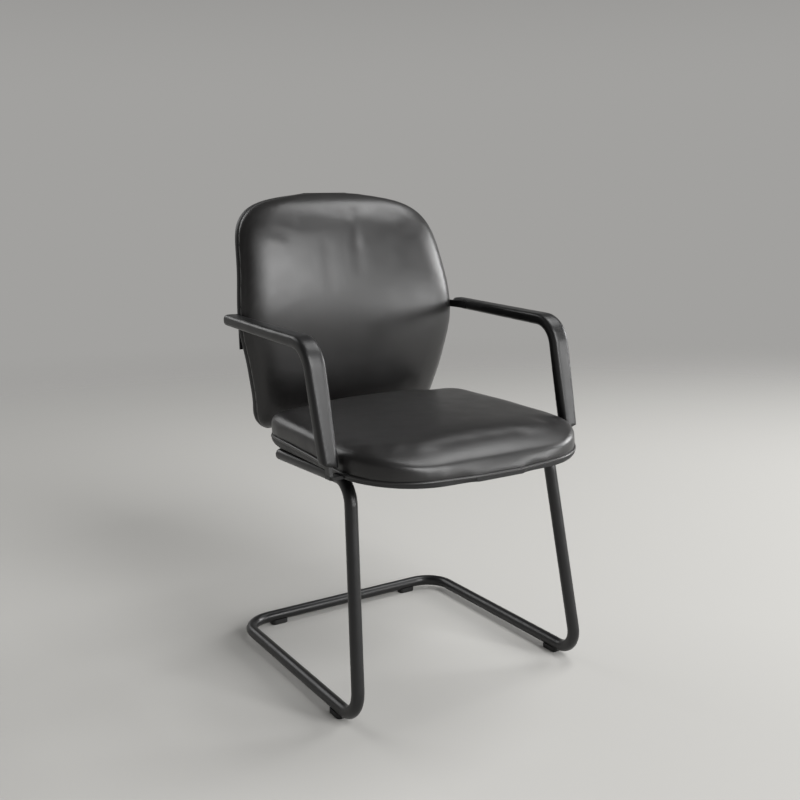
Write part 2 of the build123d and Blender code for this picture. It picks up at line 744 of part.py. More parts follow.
def arm_foot(side):
    """Steel plate from under an arm to its bolts between the seat's cover and pan."""
    length = FOOT_PLATE_OUTER_X - FOOT_PLATE_INNER_X
    plate = extrude(RectangleRounded(length, FOOT_PLATE_WIDTH, FOOT_PLATE), FOOT_PLATE)
    plate = Pos(FOOT_PLATE_INNER_X + length / 2, foot_y(), FOOT_PLATE_Z) * plate
    for x in FOOT_BOLT_X:
        plate -= rod(x, foot_y(), 0, RIM_Z, BOLT_D + HOLE_GAP)
    return plate if side > 0 else mirror(plate, Plane.YZ)


def bracket_rear_y():
    """Face of the bracket's rear leg, just clear of the shell."""
    return seam_y(BRACKET_LOW_Z) + SHELL_DEPTH + SOFT_GAP * 2


def bracket_form(grow):
    """Bent plate, or the space for it when it grows."""
    x = ARM_TIP_INNER - FIT_GAP - BRACKET / 2
    y = bracket_rear_y() + BRACKET / 2
    bend = FilletPolyline((x, BRACKET_FRONT_Y - grow), (x, y), (x - BRACKET_REACH, y), radius=BRACKET_BEND)
    face = trace(bend.edges(), line_width=BRACKET + 2 * grow)
    plate = prism(face, BRACKET_LOW_Z - grow, BRACKET_HIGH_Z + grow)
    below = BRACKET_ARM_LOW_Z - grow
    return plate - Pos(BRACKET_TAB_X + REACH / 2, 0, below - REACH / 2) * Box(REACH, REACH, REACH)


def arm_back_bracket(side):
    """Bent plate let into the inner face of an arm and led round to the rear of the back shell."""
    plate = bracket_form(0)
    for x, z in bracket_back_spots(1):
        plate -= along_y(x, z) * rod(0, 0, -REACH, REACH, SCREW_D + HOLE_GAP)
    return plate if side > 0 else mirror(plate, Plane.YZ)


def along_y(x, z, y=0.0):
    """Place whose +Z points forward, against Y."""
    return Plane((x, y, z), x_dir=(1, 0, 0), z_dir=(0, -1, 0))


def bracket_back_spots(side):
    middle = (BRACKET_LOW_Z + BRACKET_HIGH_Z) / 2
    x = ARM_TIP_INNER - BRACKET_REACH + SCREW_HEAD_D
    for step in (-0.5, 0.5):
        yield side * x, middle + step * BRACKET_SCREW_PITCH


def bracket_screws():
    rear = bracket_rear_y() + BRACKET
    spots = [spot for _, side in SIDES for spot in bracket_back_spots(side)]
    return [along_y(x, z, rear) * screw(BRACKET_SCREW) for x, z in spots]


def back_bolts():
    length = UPRIGHT + BOARD + SOFT_GAP + FIT_GAP
    return [back_bolt_head(z) * bolt(length) for z in UPRIGHT_BACK_BOLT_Z]


def back_t_nuts():
    return [back_fixing(z, 0, SOFT_GAP - FIT_GAP) * t_nut() for z in UPRIGHT_BACK_BOLT_Z]


def back_shell_screws():
    depth = SHELL_DEPTH + 2 * SOFT_GAP
    return [back_fixing(z, x, depth) * screw(SHELL_SCREW) for x, z in shell_screw_spots()]


def chair():
    pieces = {
        "cantilever_frame": cantilever_frame(),
        "front_crossbar": crossbar(FRONT_BAR_Y),
        "rear_crossbar": crossbar(REAR_BAR_Y),
        "seat_under_cover": seat_under_cover(),
        "seat_pan": seat_pan(),
        "seat_bolts": seat_bolts(),
        "seat_t_nuts": seat_t_nuts(),
        "seat_cover_screws": seat_cover_screws(),
        "seat_foam": seat_foam(),
        "seat_leather": seat_leather(),
        "seat_piping": seat_piping(),
        "back_upright": back_upright(),
        "back_bolts": back_bolts(),
        "back_t_nuts": back_t_nuts(),
        "back_board": back_board(),
        "back_foam": back_foam(),
        "back_leather": back_leather(),
        "back_shell": back_shell(),
        "back_shell_screws": back_shell_screws(),
        "arm_bracket_screws": bracket_screws(),
    }
    for name, x, y, turn in glide_spots():
        pieces[name] = glide(x, y, turn)
    for name, side in SIDES:
        pieces[f"{name}_rail_plug"] = rail_plug(side)
        pieces[f"{name}_armrest"] = armrest(side)
        pieces[f"{name}_arm_core"] = arm_core(side)
        pieces[f"{name}_arm_foot"] = arm_foot(side)
        pieces[f"{name}_arm_back_bracket"] = arm_back_bracket(side)
    return pieces


def main():
    pieces = {}
    for name, shape in chair().items():
        solids = [s for one in shape for s in one.solids()] if isinstance(shape, list) else shape.solids()
        pieces[name] = Compound(solids) if len(solids) > 1 else solids[0]
    box = Compound([solid for piece in pieces.values() for solid in piece.solids()]).bounding_box()
    stand = Pos(-box.center().X, -box.center().Y, -box.min.Z)
    print("moved by", stand.position, "size", box.size)
    os.makedirs("parts", exist_ok=True)
    for name, piece in pieces.items():
        export_step(stand * piece, f"parts/{name}.step")


main()
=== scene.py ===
import math

import bmesh
import bpy
from bpy.props import FloatProperty, FloatVectorProperty, IntProperty, PointerProperty
from bpy.types import Operator, Panel, PropertyGroup
from mathutils import Matrix, Vector
from mathutils.bvhtree import BVHTree
from mathutils.geometry import intersect_point_line


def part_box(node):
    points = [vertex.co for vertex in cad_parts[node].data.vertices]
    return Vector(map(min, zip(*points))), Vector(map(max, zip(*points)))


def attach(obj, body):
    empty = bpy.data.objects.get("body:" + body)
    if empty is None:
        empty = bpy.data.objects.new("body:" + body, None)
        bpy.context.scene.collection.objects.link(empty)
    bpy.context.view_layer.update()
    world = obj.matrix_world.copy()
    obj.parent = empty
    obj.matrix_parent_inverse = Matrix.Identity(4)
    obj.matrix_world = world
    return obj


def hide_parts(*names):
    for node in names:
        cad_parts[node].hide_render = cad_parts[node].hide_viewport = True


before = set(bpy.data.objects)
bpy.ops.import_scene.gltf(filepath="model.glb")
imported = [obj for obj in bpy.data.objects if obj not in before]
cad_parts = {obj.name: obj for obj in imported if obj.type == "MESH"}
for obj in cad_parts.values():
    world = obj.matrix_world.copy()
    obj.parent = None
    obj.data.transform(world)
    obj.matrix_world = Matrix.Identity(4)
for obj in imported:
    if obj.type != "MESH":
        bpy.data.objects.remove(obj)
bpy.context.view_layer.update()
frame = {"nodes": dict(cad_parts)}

bl_info = {
    "name": "Visitor chair looks",
    "version": (1, 0, 0),
    "blender": (4, 5, 0),
    "location": "View3D > Sidebar > Chair",
    "description": "Cushions, piping and finishes of a cantilever visitor chair",
    "category": "Object",
}

MM = 0.001

# How a cushion is closed and held: overlap of its parts, reach of the held edge, width and depth
# of the edge that is drawn down, and width of the roll above it.
OVERLAP = 1 * MM
HOLD = 8 * MM
RIM_BAND = 22 * MM
RIM_DRAW = 8 * MM
ROLL_BAND = 50 * MM

# Steps of smoothing: a cushion's whole form, its rim, its roll, an arm, the piping's line and the
# amounts of swelling.
FORM_STEPS = 20
RIM_STEPS = 40
ROLL_STEPS = 10
ARM_STEPS = 9
LINE_STEPS = 8
SWELL_STEPS = 10

# How squarely a point has to face the base to be held, and how far round from the front the fall
# of the back's sides and its creases reach.
HELD_FACING = 0.5
SIDE_FACING = 0.2
CREASE_FACING = 0.3

# Cloth that swells the cushions.
PRESSURE = 4.0
STRETCH_STIFFNESS = 40
BEND_STIFFNESS = 10

# Searches over surfaces: merging distance, height of one level of the back, step between rays, and
# reach of the arms' clearance as a multiple of its gap.
MERGE = 0.002 * MM
LEVEL_STEP = 10 * MM
RAY_STEP = 0.4 * MM
REACH_IN_GAPS = 4

# Piping: how far it stands proud, points and spacing along its line, and sides of its section.
PIPING_PROUD = 1.0 * MM
LINE_POINTS = 180
BEAD_SPACING = 4 * MM
BEAD_SIDES = 16

# Range that most values of a noise texture fall in.
NOISE_LOW = 0.3
NOISE_HIGH = 0.7

# Soft creases of the upper back: start and end across and up, width and depth.
BACK_CREASES = (
    ((0.026, 0.838), (0.014, 0.774), 0.011, 0.0007),
    ((0.014, 0.774), (0.012, 0.730), 0.013, 0.0004),
    ((-0.090, 0.818), (-0.010, 0.822), 0.013, 0.0006),
    ((-0.052, 0.770), (-0.056, 0.700), 0.014, 0.0003),
)


def linear(colour):
    """Linear RGB of an sRGB hex value."""
    shares = [int(colour[place:place + 2], 16) / 255 for place in (1, 3, 5)]
    return [s / 12.92 if s <= 0.04045 else ((s + 0.055) / 1.055) ** 2.4 for s in shares]


def clamp(value):
    """Value held between 0 and 1."""
    return max(0.0, min(1.0, value))


def colour_property(name, colour, description):
    """Colour setting that starts at an sRGB hex value."""
    return FloatVectorProperty(
        name=name, description=description, subtype="COLOR", size=3, min=0, max=1, default=linear(colour)
    )


def length_property(name, millimetres, description):
    """Length setting that starts at a number of millimetres."""
    return FloatProperty(
        name=name, description=description, unit="LENGTH", precision=5, default=millimetres * MM
    )


class ChairFinishes(PropertyGroup):
    """Colours of the chair's materials."""
    leather: colour_property("Leather", "#121111", "Dyed and finished hide of seat and back")
    piping: colour_property("Piping", "#1a1919", "Leather strip sewn over a cord")
    frame: colour_property("Frame", "#0f0f10", "Powder coat on the bent tube")
    bracket: colour_property("Brackets", "#111112", "Paint on flat steel")
    arm: colour_property("Arms", "#131314", "Moulded polypropylene of the arms")
    shell: colour_property("Shells", "#131314", "Moulded polypropylene under the seat and behind the back")
    nylon: colour_property("Glides", "#121212", "Nylon of glides and plugs")
    zinc: colour_property("Zinc", "#b9b8b2", "Plating on bolts and T-nuts")
    oxide: colour_property("Screws", "#1d1d1f", "Black oxide on screws")
    beech: colour_property("Beech", "#c19a6b", "Face veneer of the boards")
    floor: colour_property("Floor", "#bebdba", "Pale plain floor")
    backdrop: colour_property("Backdrop", "#a2a19f", "Pale backdrop that the floor fades into")


class ChairSizes(PropertyGroup):
    """Sizes of the soft pieces and of the surface patterns."""
    voxel: length_property("Voxel", 5.0, "Grid that the cushions are remeshed on")
    seat_puff: length_property("Seat puff", 4.0, "Furthest that a point of the seat may swell")
    back_puff: length_property("Back puff", 2.0, "Furthest that a point of the back may swell")
    closing: length_property("Closing", 6.0, "Width of the hollows that are filled between skin and foam")
    roll: length_property("Side roll", 60.0, "Width of the rounded sides of the back")
    fall: length_property("Side fall", 11.0, "Depth that the back's sides fall away by")
    arm_voxel: length_property("Arm voxel", 2.5, "Grid that the arms are remeshed on")
    clearance: length_property("Clearance", 0.8, "Least gap between a cushion and the arms")
    piping_radius: length_property("Piping radius", 2.6, "Radius of the piping bead")
    # The leather's grain and the mould's grit are coarser than real ones, so that they show.
    grain: length_property("Leather grain", 1.6, "Width of one pebble of the leather's grain")
    stretch: length_property("Stretch marks", 22.0, "Spacing of the faint streaks in stretched leather")
    peel: length_property("Orange peel", 2.4, "Wave length of the powder coat's ripple")
    spark: length_property("Mould texture", 0.9, "Grit of the eroded mould texture")
    frames: IntProperty(name="Cloth steps", description="Steps of the cushions' simulation", default=20)


def settings():
    """The scene's finishes and sizes."""
    return bpy.context.scene.chair_finishes, bpy.context.scene.chair_sizes


def add(tree, kind, inputs=None, **options):
    """Add a node, set its options, and set or link its inputs."""
    made = tree.nodes.new(kind)
    for name, value in options.items():
        setattr(made, name, value)
    for name, value in (inputs or {}).items():
        if isinstance(value, bpy.types.NodeSocket):
            tree.links.new(value, made.inputs[name])
        else:
            made.inputs[name].default_value = value
    return made


def new_material(name, colour, **constants):
    """Material with a principled shader whose constants stand on its own sockets."""
    material = bpy.data.materials.new(name)
    material.use_nodes = True
    material.diffuse_color = (*colour, 1)
    shader = material.node_tree.nodes["Principled BSDF"]
    shader.inputs["Base Color"].default_value = (*colour, 1)
    for socket, value in constants.items():
        shader.inputs[socket.replace("_", " ")].default_value = value
    return material, material.node_tree, shader


def blend(tree, shader, share, colour, low, high):
    """Let a share run the base colour from a low to a high level of a colour."""
    mix = add(tree, "ShaderNodeMix", {"Factor": share}, data_type="RGBA")
    mix.inputs["A"].default_value = (*[c * low for c in colour], 1)
    mix.inputs["B"].default_value = (*[c * high for c in colour], 1)
    tree.links.new(mix.outputs["Result"], shader.inputs["Base Color"])


def vary_colour(tree, shader, colour, point, size, low, high):
    """Let a colour drift between two levels over patches of a size."""
    drift = add(tree, "ShaderNodeTexNoise", {"Vector": point, "Scale": 1 / size, "Detail": 3})
    blend(tree, shader, drift.outputs["Fac"], colour, low, high)


def vary_roughness(tree, shader, point, size, low, high):
    """Let the roughness drift between two values over patches of a size."""
    drift = add(tree, "ShaderNodeTexNoise", {"Vector": point, "Scale": 1 / size, "Detail": 4})
    spread = {"Value": drift.outputs["Fac"], "From Min": NOISE_LOW, "From Max": NOISE_HIGH,
              "To Min": low, "To Max": high}
    level = add(tree, "ShaderNodeMapRange", spread)
    tree.links.new(level.outputs["Result"], shader.inputs["Roughness"])


def bump(tree, shader, height, depth, strength, under=None):
    """Raise the surface by a height pattern of a depth in metres, over another bump where one is given."""
    inputs = {"Height": height, "Distance": depth, "Strength": strength}
    if under:
        inputs["Normal"] = under.outputs["Normal"]
    made = add(tree, "ShaderNodeBump", inputs)
    tree.links.new(made.outputs["Normal"], shader.inputs["Normal"])
    return made


def object_point(tree):
    """Position on the piece in metres, so that patterns keep their size."""
    return add(tree, "ShaderNodeTexCoord").outputs["Object"]


def finished_leather(name, colour):
    """Corrected grain leather: a pressed pebble grain under a satin topcoat, so broad soft sheens."""
    _, sizes = settings()
    material, tree, shader = new_material(name, colour, IOR=1.47, Coat_Weight=0.3, Coat_Roughness=0.3)
    point = object_point(tree)
    vary_colour(tree, shader, colour, point, 60 * MM, 0.85, 1.2)
    vary_roughness(tree, shader, point, 35 * MM, 0.36, 0.43)
    drawn = add(tree, "ShaderNodeMapping", {"Vector": point, "Scale": (1, 1, 0.2)})
    streaks = add(tree, "ShaderNodeTexNoise",
                  {"Vector": drawn.outputs["Vector"], "Scale": 1 / sizes.stretch})
    broad = bump(tree, shader, streaks.outputs["Fac"], 0.5 * MM, 0.5)
    warp = add(tree, "ShaderNodeTexNoise", {"Vector": point, "Scale": 1 / (6 * sizes.grain), "Detail": 2})
    moved = add(tree, "ShaderNodeVectorMath", {0: warp.outputs["Color"]}, operation="SCALE")
    moved.inputs["Scale"].default_value = 2 * sizes.grain
    place = add(tree, "ShaderNodeVectorMath", {0: point, 1: moved.outputs["Vector"]}, operation="ADD")
    cells = add(tree, "ShaderNodeTexVoronoi", {"Vector": place.outputs["Vector"], "Scale": 1 / sizes.grain},
                feature="DISTANCE_TO_EDGE")
    pebble = add(tree, "ShaderNodeMapRange", {"Value": cells.outputs["Distance"], "From Max": 0.25},
                 interpolation_type="SMOOTHSTEP")
    bump(tree, shader, pebble.outputs["Result"], 0.05 * MM, 0.25, broad)
    return material


def powder_coat(name, colour, peel):
    """Black powder coat: melted resin with a faint orange peel and a semi-gloss shine."""
    material, tree, shader = new_material(name, colour, IOR=1.52)
    point = object_point(tree)
    vary_roughness(tree, shader, point, 20 * MM, 0.30, 0.38)
    ripple = add(tree, "ShaderNodeTexNoise", {"Vector": point, "Scale": 1 / peel, "Detail": 1})
    bump(tree, shader, ripple.outputs["Fac"], 0.06 * MM, 0.2)
    return material


def moulded_polypropylene(name, colour, grit, low, high):
    """Polypropylene from an eroded steel mould: a fine even grit that scatters the shine."""
    material, tree, shader = new_material(name, colour, IOR=1.49)
    point = object_point(tree)
    vary_roughness(tree, shader, point, 30 * MM, low, high)
    grains = add(tree, "ShaderNodeTexNoise", {"Vector": point, "Scale": 1 / grit, "Detail": 2})
    bump(tree, shader, grains.outputs["Fac"], 0.05 * MM, 0.3)
    return material


def plated_steel(name, colour, low, high):
    """Plated or oxidised steel: metallic, with a fine blur that varies with handling."""
    material, tree, shader = new_material(name, colour, Metallic=1.0)
    point = object_point(tree)
    vary_roughness(tree, shader, point, 3 * MM, low, high)
    return material


def beech_plywood(name, colour):
    """Rotary cut beech: pale plies with long figure along the board and small dark flecks."""
    material, tree, shader = new_material(name, colour, Roughness=0.6)
    point = object_point(tree)
    along = add(tree, "ShaderNodeMapping", {"Vector": point, "Scale": (40, 6, 40)})
    figure = add(tree, "ShaderNodeTexNoise", {"Vector": along.outputs["Vector"], "Scale": 3, "Detail": 6})
    blend(tree, shader, figure.outputs["Fac"], colour, 0.6, 1.0)
    return material


def clothe(material, *nodes):
    """Give CAD nodes a material."""
    for name in nodes:
        mesh = frame["nodes"][name].data
        mesh.materials.clear()
        mesh.materials.append(material)


def new_object(name, mesh):
    """Object of a mesh, put into the scene."""
    made = bpy.data.objects.new(name, mesh)
    bpy.context.scene.collection.objects.link(made)
    return made


def plain_mesh(made):
    """Turn an object's evaluated modifiers into its own mesh."""
    graph = bpy.context.evaluated_depsgraph_get()
    mesh = bpy.data.meshes.new_from_object(made.evaluated_get(graph))
    made.modifiers.clear()
    made.data = mesh
    mesh.name = made.name
    return mesh


def node_form(name, grow=0.0):
    """Merged copy of a CAD node's mesh, grown outwards by a distance."""
    form = bmesh.new()
    form.from_mesh(frame["nodes"][name].data)
    bmesh.ops.remove_doubles(form, verts=form.verts, dist=MERGE)
    form.normal_update()
    shifted = [v.co + v.normal * grow for v in form.verts]
    for vertex, place in zip(form.verts, shifted):
        vertex.co = place
    mesh = bpy.data.meshes.new(name)
    form.to_mesh(mesh)
    form.free()
    return mesh


def node_tree(name):
    """Search tree over a CAD node's surface."""
    form = bmesh.new()
    form.from_mesh(frame["nodes"][name].data)
    tree = BVHTree.FromBMesh(form)
    form.free()
    return tree


def largest_island(mesh):
    """Keep the connected surface that has the most points."""
    form = bmesh.new()
    form.from_mesh(mesh)
    left = set(form.verts)
    best = set()
    while left:
        seed = left.pop()
        island = {seed}
        front = [seed]
        while front:
            vertex = front.pop()
            for edge in vertex.link_edges:
                other = edge.other_vert(vertex)
                if other in left:
                    left.discard(other)
                    island.add(other)
                    front.append(other)
        if len(island) > len(best):
            best = island
    bmesh.ops.delete(form, geom=[v for v in form.verts if v not in best], context="VERTS")
    form.to_mesh(mesh)
    form.free()


def regrid(made, voxel):
    """Remesh an object on a grid, and keep its largest island."""
    remesh = made.modifiers.new("grid", "REMESH")
    remesh.mode = "VOXEL"
    remesh.voxel_size = voxel
    plain_mesh(made)
    largest_island(made.data)


def even_out(made, steps, points=None):
    """Smooth a mesh by steps, all over or at some of its points."""
    smooth = made.modifiers.new("even", "SMOOTH")
    smooth.factor = 0.5
    smooth.iterations = steps
    if points is not None:
        group = made.vertex_groups.new(name="evened")
        group.add(points, 1.0, "REPLACE")
        smooth.vertex_group = group.name
    plain_mesh(made)
    made.vertex_groups.clear()


def cushion(name, skin, foam, base, way, puff, rims=()):
    """Closed smooth form of a skin over its foam, swollen by a cloth simulation and held at its base."""
    _, sizes = settings()
    form = bmesh.new()
    form.from_mesh(node_form(skin, sizes.closing))
    form.from_mesh(node_form(foam, sizes.closing + OVERLAP))
    for node in rims:
        form.from_mesh(node_form(node, sizes.closing - OVERLAP))
    mesh = bpy.data.meshes.new(name)
    form.to_mesh(mesh)
    form.free()
    made = new_object(name, mesh)
    regrid(made, sizes.voxel)
    even_out(made, FORM_STEPS)
    rim = node_tree(base)
    if rims:
        near = [v.index for v in made.data.vertices if rim.find_nearest(v.co, RIM_BAND)[0] is not None]
        even_out(made, RIM_STEPS, near)
    move_along_normals(made.data, [-sizes.closing] * len(made.data.vertices))
    pinned = [v.index for v in made.data.vertices
              if v.normal.dot(way) > HELD_FACING or rim.find_nearest(v.co, HOLD)[0] is not None]
    group = made.vertex_groups.new(name="base")
    group.add(pinned, 1.0, "REPLACE")
    swell(made, sizes.frames, puff)
    made.vertex_groups.clear()
    if rims:
        draw_down(made.data, rim)
        even_out(made, ROLL_STEPS, roll_points(made.data, rim))
    keep_clear(made.data, sizes.clearance)
    refine = made.modifiers.new("refine", "SUBSURF")
    refine.levels = 1
    plain_mesh(made)
    made.data.shade_smooth()
    return made


def draw_down(mesh, rim):
    """Pull the edge of a cushion down to its rim, as the sewn cover does."""
    for vertex in mesh.vertices:
        spot, _, _, distance = rim.find_nearest(vertex.co, RIM_BAND)
        if spot is not None:
            vertex.co.z -= RIM_DRAW * (1 - distance / RIM_BAND)
    mesh.update()


def roll_points(mesh, rim):
    """Points of a cushion's roll, above its rim."""
    points = []
    for vertex in mesh.vertices:
        distance = rim.find_nearest(vertex.co, ROLL_BAND)[3]
        if distance is not None and distance > HOLD:
            points.append(vertex.index)
    return points


def move_along_normals(mesh, amounts):
    """Move each point along its normal by its own amount."""
    places = [v.co + v.normal * amount for v, amount in zip(mesh.vertices, amounts)]
    for vertex, place in zip(mesh.vertices, places):
        vertex.co = place
    mesh.update()


def average(mesh, amounts, steps):
    """Average the amounts of a mesh's points with those of their neighbours, by steps."""
    for _ in range(steps):
        total = amounts[:]
        count = [1] * len(amounts)
        for edge in mesh.edges:
            first, second = edge.vertices
            total[first] += amounts[second]
            total[second] += amounts[first]
            count[first] += 1
            count[second] += 1
        amounts = [t / c for t, c in zip(total, count)]
    return amounts


def swell(made, frames, puff):
    """Let cloth under pressure find how a cushion swells, and keep its outward part, capped and evened."""
    rest = [v.co.copy() for v in made.data.vertices]
    normals = [v.normal.copy() for v in made.data.vertices]
    cloth = made.modifiers.new("cloth", "CLOTH")
    cloth.settings.vertex_group_mass = "base"
    cloth.settings.use_pressure = True
    cloth.settings.uniform_pressure_force = PRESSURE
    cloth.settings.effector_weights.gravity = 0.0
    cloth.settings.tension_stiffness = STRETCH_STIFFNESS
    cloth.settings.compression_stiffness = STRETCH_STIFFNESS
    cloth.settings.bending_stiffness = BEND_STIFFNESS
    scene = bpy.context.scene
    cloth.point_cache.frame_start = 1
    cloth.point_cache.frame_end = frames
    for step in range(1, frames + 1):
        scene.frame_set(step)
    plain_mesh(made)
    scene.frame_set(1)
    mesh = made.data
    amounts = [max(0.0, min(puff, (v.co - place).dot(normal)))
               for v, place, normal in zip(mesh.vertices, rest, normals)]
    amounts = average(mesh, amounts, SWELL_STEPS)
    for vertex, place, normal, amount in zip(mesh.vertices, rest, normals, amounts):
        vertex.co = place + normal * amount
    mesh.update()


def keep_clear(mesh, gap):
    """Push points that came too near to the arms or their brackets back to a gap."""
    for node in ("left_armrest", "right_armrest", "left_arm_back_bracket", "right_arm_back_bracket"):
        tree = node_tree(node)
        for vertex in mesh.vertices:
            spot, normal, _, _ = tree.find_nearest(vertex.co, REACH_IN_GAPS * gap)
            if spot is not None and (vertex.co - spot).dot(normal) < gap:
                vertex.co = spot + normal * gap
    mesh.update()


def round_sides(mesh, width, fall):
    """Let a cushion's front fall away over a width along both sides, for full round edges."""
    reach = {}
    for vertex in mesh.vertices:
        level = round(vertex.co.z / LEVEL_STEP)
        reach[level] = max(reach.get(level, 0), abs(vertex.co.x))
    moved = []
    for vertex in mesh.vertices:
        level = vertex.co.z / LEVEL_STEP
        low = math.floor(level)
        half = reach[round(level)]
        if low in reach and low + 1 in reach:
            half = reach[low] + (reach[low + 1] - reach[low]) * (level - low)
        share = clamp((abs(vertex.co.x) - half + width) / width)
        front = clamp(SIDE_FACING - vertex.normal.y)
        moved.append(vertex.co + Vector((0, fall * share ** 2 * front, 0)))
    for vertex, place in zip(mesh.vertices, moved):
        vertex.co = place
    mesh.update()


def press_creases(mesh, creases):
    """Press soft valleys into a cushion's front, along short lines given across and up."""
    amounts = [0.0] * len(mesh.vertices)
    for vertex in mesh.vertices:
        if vertex.normal.y > -CREASE_FACING:
            continue
        spot = Vector((vertex.co.x, vertex.co.z))
        for start, end, width, depth in creases:
            share = intersect_point_line(spot, Vector(start), Vector(end))[1]
            nearest = Vector(start).lerp(Vector(end), clamp(share))
            amounts[vertex.index] -= depth * math.exp(-((spot - nearest).length / width) ** 2)
    move_along_normals(mesh, amounts)


def finish_piece(made, slot, *nodes):
    """Put a piece on the chair's body in place of its nodes; the slot is not used."""
    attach(made, "root")
    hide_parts(*nodes)


def rim_path(node, count):
    """Points round a bead's outermost edge, found by rays towards the middle."""
    low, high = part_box(node)
    tree = node_tree(node)
    middle = (low + high) / 2
    reach = (high - low).length
    points = []
    for step in range(count):
        turn = 2 * math.pi * step / count
        out = Vector((math.cos(turn), math.sin(turn), 0))
        best = None
        level = low.z
        while level < high.z:
            start = Vector((middle.x, middle.y, level)) + out * reach
            spot = tree.ray_cast(start, -out, reach)[0]
            if spot and (best is None or (spot - middle).dot(out) > (best - middle).dot(out)):
                best = spot
            level += RAY_STEP
        points.append(best)
    return points


def piping_tree(material):
    """Node tree that runs a round bead along a closed line of points."""
    tree = bpy.data.node_groups.new("Piping bead", "GeometryNodeTree")
    tree.interface.new_socket("Line", in_out="INPUT", socket_type="NodeSocketGeometry")
    radius = tree.interface.new_socket("Radius", in_out="INPUT", socket_type="NodeSocketFloat")
    spacing = tree.interface.new_socket("Spacing", in_out="INPUT", socket_type="NodeSocketFloat")
    tree.interface.new_socket("Bead", in_out="OUTPUT", socket_type="NodeSocketGeometry")
    given = add(tree, "NodeGroupInput").outputs
    curve = add(tree, "GeometryNodeMeshToCurve", {"Mesh": given["Line"]})
    kind = add(tree, "GeometryNodeCurveSplineType", {"Curve": curve.outputs["Curve"]}, spline_type="NURBS")
    even = add(tree, "GeometryNodeResampleCurve",
               {"Curve": kind.outputs["Curve"], "Length": given["Spacing"]}, mode="LENGTH")
    ring = add(tree, "GeometryNodeCurvePrimitiveCircle",
               {"Resolution": BEAD_SIDES, "Radius": given["Radius"]})
    bead = add(tree, "GeometryNodeCurveToMesh",
               {"Curve": even.outputs["Curve"], "Profile Curve": ring.outputs["Curve"]})
    smooth = add(tree, "GeometryNodeSetShadeSmooth", {"Geometry": bead.outputs["Mesh"]})
    real = add(tree, "GeometryNodeRealizeInstances", {"Geometry": smooth.outputs["Geometry"]})
    dressed = add(tree, "GeometryNodeSetMaterial",
                  {"Geometry": real.outputs["Geometry"], "Material": material})
    add(tree, "NodeGroupOutput", {"Bead": dressed.outputs["Geometry"]})
    return tree, radius.identifier, spacing.identifier


class CHAIR_OT_seat_cushion(Operator):
    """Make the seat cushion in black leather"""
    bl_idname = "chair.seat_cushion"
    bl_label = "Seat cushion"

    def execute(self, context):
        colours, sizes = settings()
        made = cushion("seat_cushion", "seat_leather", "seat_foam", "seat_piping", Vector((0, 0, -1)),
                       sizes.seat_puff, rims=("seat_piping",))
        made.data.materials.append(finished_leather("Finished black leather, seat", colours.leather))
        finish_piece(made, "leather", "seat_leather", "seat_foam")
        return {"FINISHED"}


class CHAIR_OT_back_cushion(Operator):
    """Make the back cushion in black leather"""
    bl_idname = "chair.back_cushion"
    bl_label = "Back cushion"

    def execute(self, context):
        colours, sizes = settings()
        made = cushion("back_cushion", "back_leather", "back_foam", "back_shell", Vector((0, 1, 0)),
                       sizes.back_puff)
        round_sides(made.data, sizes.roll, sizes.fall)
        press_creases(made.data, BACK_CREASES)
        made.data.materials.append(finished_leather("Finished black leather, back", colours.leather))
        finish_piece(made, "leather", "back_leather", "back_foam")
        return {"FINISHED"}


class CHAIR_OT_piping(Operator):
    """Run the piping bead round the seat's rim"""
    bl_idname = "chair.piping"
    bl_label = "Seat piping"

    def execute(self, context):
        colours, sizes = settings()
        points = rim_path("seat_piping", LINE_POINTS)
        if None in points:
            raise RuntimeError("the piping's line was not found all the way round")
        for _ in range(LINE_STEPS):
            points = [(points[step - 1] + 2 * p + points[(step + 1) % len(points)]) / 4
                      for step, p in enumerate(points)]
        edges = [(step, (step + 1) % len(points)) for step in range(len(points))]
        mesh = bpy.data.meshes.new("piping_bead")
        depth = sizes.piping_radius - PIPING_PROUD
        inner = [p + self.inward(points, step) * depth for step, p in enumerate(points)]
        mesh.from_pydata(inner, edges, [])
        made = new_object("piping_bead", mesh)
        material = finished_leather("Leather piping", colours.piping)
        tree, radius, spacing = piping_tree(material)
        modifier = made.modifiers.new("bead", "NODES")
        modifier.node_group = tree
        modifier[radius] = sizes.piping_radius
        modifier[spacing] = BEAD_SPACING
        plain_mesh(made)
        finish_piece(made, "piping", "seat_piping")
        return {"FINISHED"}

    @staticmethod
    def inward(points, step):
        """Level direction from a point of the line towards its inside."""
        ahead = points[(step + 1) % len(points)] - points[step - 1]
        return Vector((-ahead.y, ahead.x, 0)).normalized()


class CHAIR_OT_frame_finish(Operator):
    """Powder coat the tube frame and paint the steel brackets"""
    bl_idname = "chair.frame_finish"
    bl_label = "Frame and brackets"

    def execute(self, context):
        colours, sizes = settings()
        clothe(powder_coat("Black powder coat", colours.frame, sizes.peel),
               "cantilever_frame", "front_crossbar", "rear_crossbar")
        brackets = ["back_upright"]
        for side in ("left", "right"):
            brackets += [f"{side}_arm_foot", f"{side}_arm_back_bracket", f"{side}_arm_core"]
        clothe(powder_coat("Black paint on flat steel", colours.bracket, sizes.peel), *brackets)
        return {"FINISHED"}


